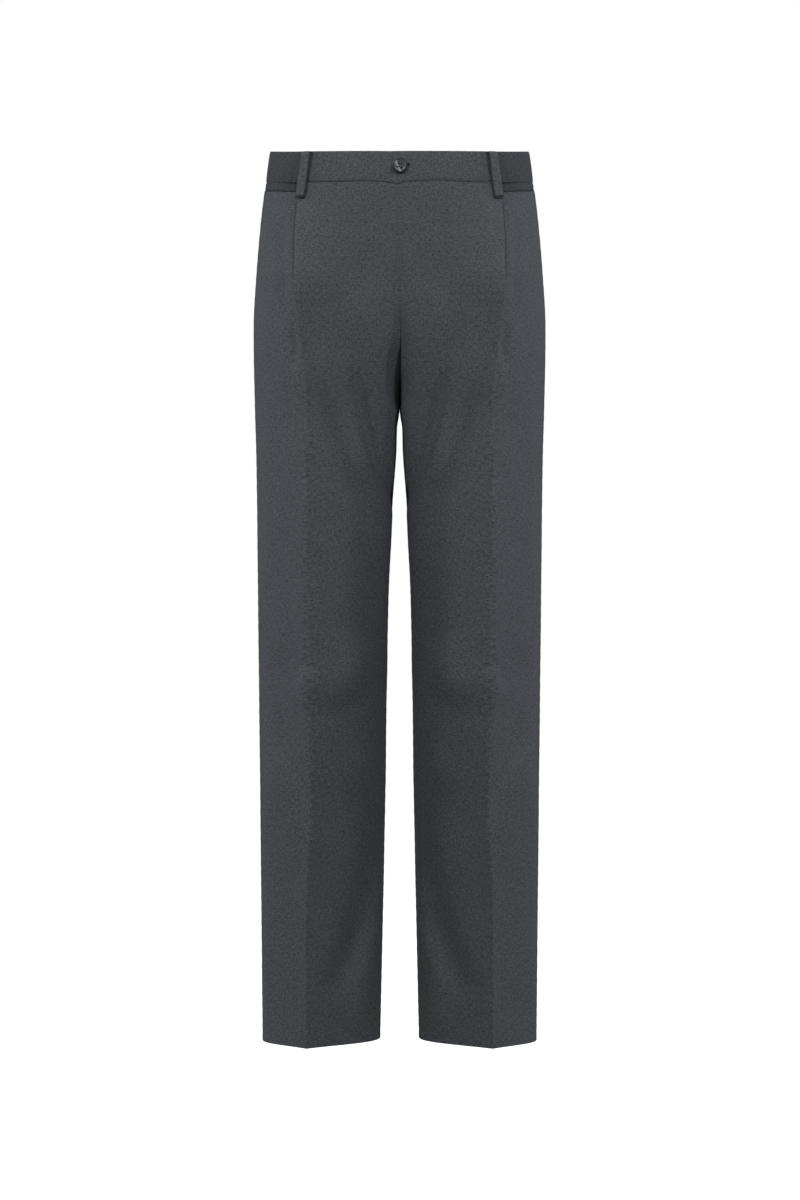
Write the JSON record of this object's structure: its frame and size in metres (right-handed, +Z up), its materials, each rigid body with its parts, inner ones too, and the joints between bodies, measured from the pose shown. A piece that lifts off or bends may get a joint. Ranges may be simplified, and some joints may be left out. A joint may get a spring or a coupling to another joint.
{
  "type": "pleated dress trousers",
  "caption": "Pleated dress trousers filled out as if worn, hollow, with pressed creases, a buttoned waistband, belt loops and pockets under the band.",
  "frame": {"origin": "the middle of the waist opening, level with the waistband's top edge at the side seams", "axes": "+Z up, the front faces -Y, +X is the wearer's left"},
  "size_m": [0.3438, 0.2484, 1.0629],
  "materials": {
    "wool": "matt mid-grey wool flannel with a fine heathered grain",
    "horn": "satin dark grey horn look with paler streaks"
  },
  "bodies": {
    "root": {"front_panel_left": "wool", "front_panel_right": "wool", "back_panel_left": "wool", "back_panel_right": "wool", "pocket_facing_left": "wool", "pocket_facing_right": "wool", "waistband_front_left": "wool", "waistband_front_right": "wool", "waistband_back_left": "wool", "waistband_back_right": "wool", "belt_loop_front_left": "wool", "belt_loop_front_right": "wool", "belt_loop_side_left": "wool", "belt_loop_side_right": "wool", "belt_loop_back": "wool", "waist_button": "horn"}
  },
  "joints": []
}
